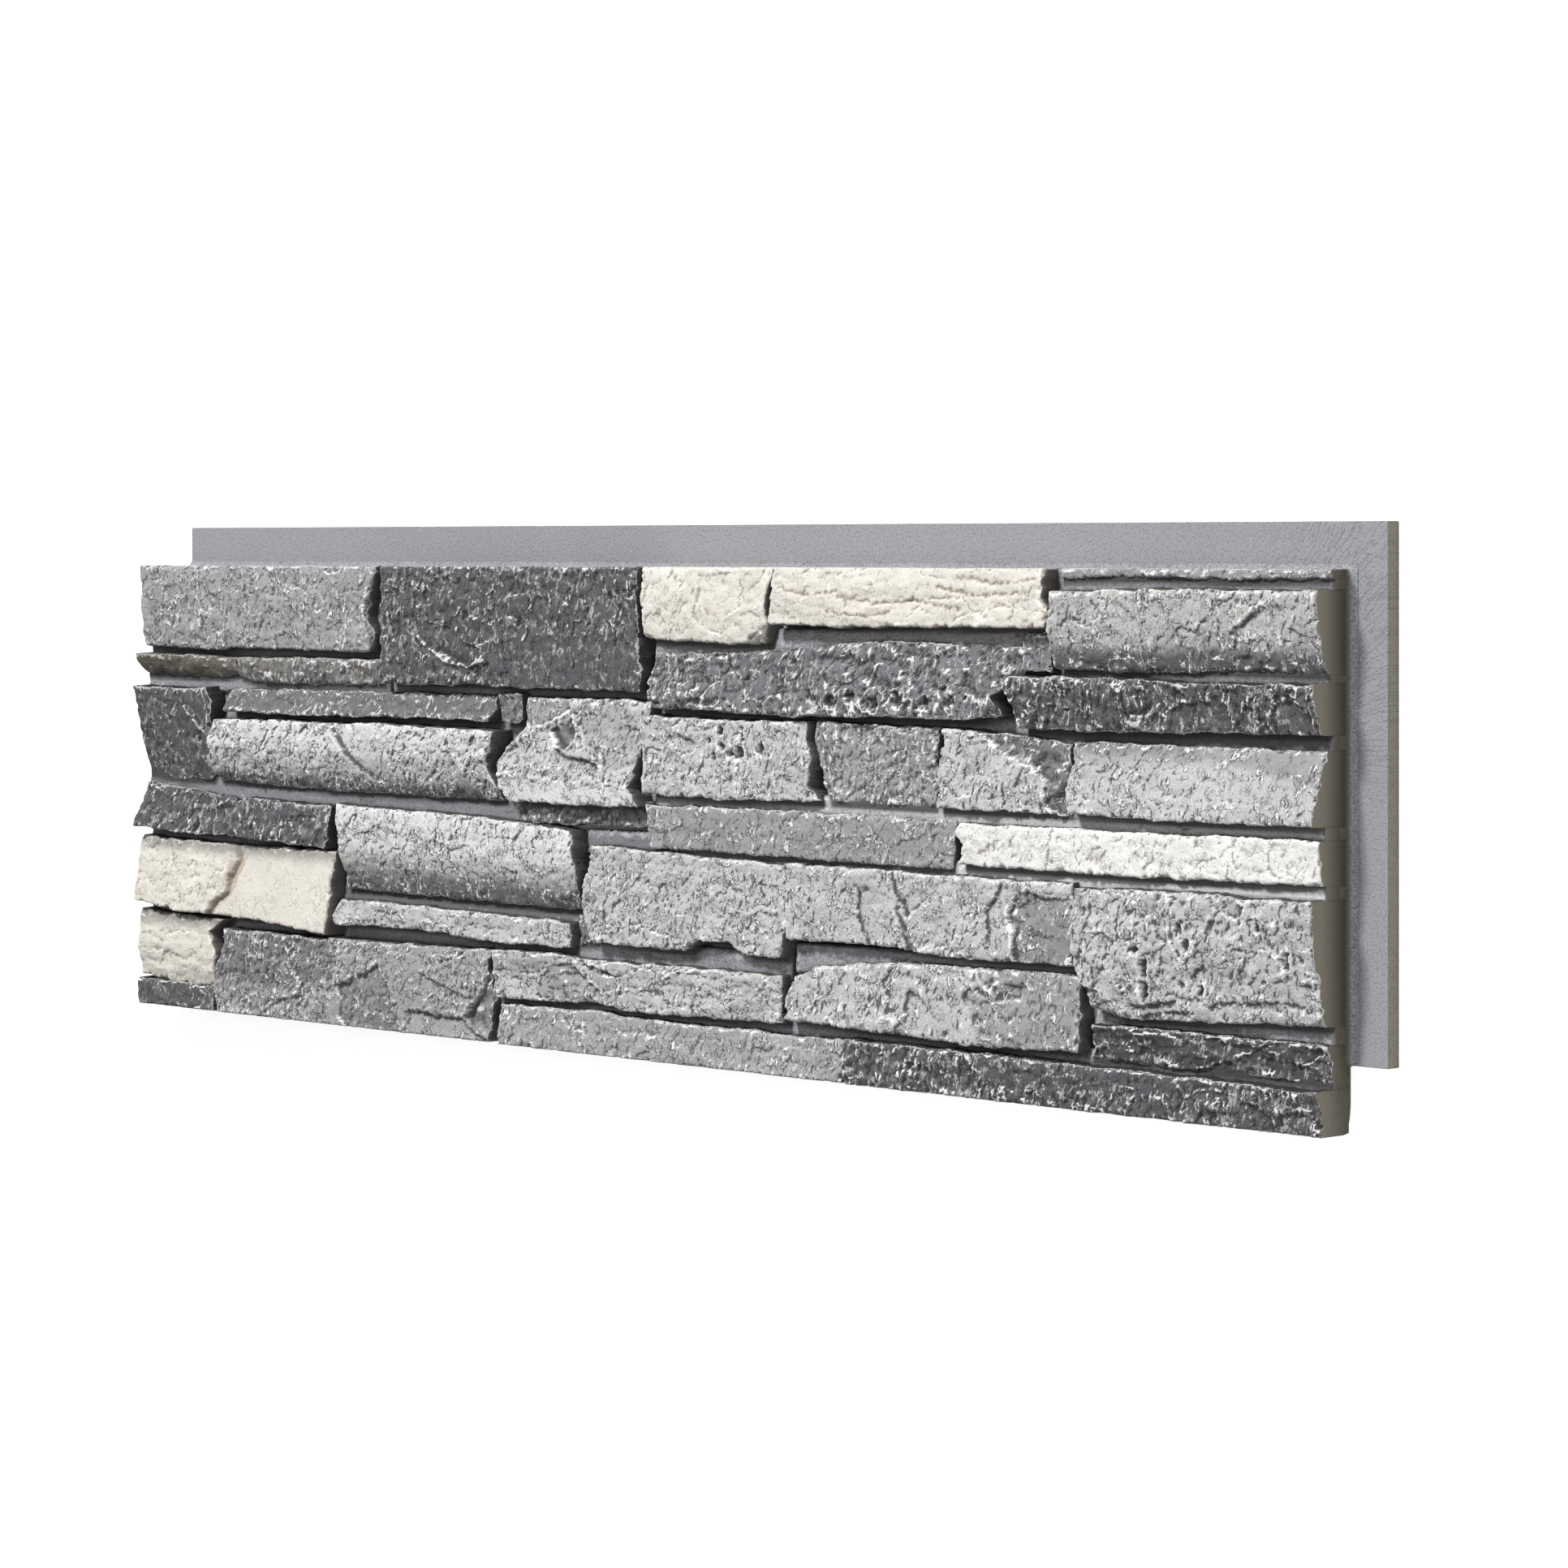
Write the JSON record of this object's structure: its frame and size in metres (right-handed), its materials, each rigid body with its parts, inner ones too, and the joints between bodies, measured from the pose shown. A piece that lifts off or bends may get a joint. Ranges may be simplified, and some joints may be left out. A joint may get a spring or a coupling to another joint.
{
  "type": "faux stone wall panel",
  "caption": "Moulded foam wall panel with a relief of stacked ledge stones, lap flanges along its top and right edges and matching rebates behind its left and bottom edges.",
  "frame": {"origin": "on the floor under the middle of the panel, which lies on its back", "axes": "+X along the panel's length towards its right lap, +Y up on the wall towards its top lap, +Z out of the stone face"},
  "size_m": [1.092, 0.331, 0.0443],
  "materials": {
    "stone_panel": "matt painted foam, grey base coat with darker washes and pale dry-brushed ridges"
  },
  "bodies": {
    "root": {"stone_panel": "stone_panel"}
  },
  "joints": []
}
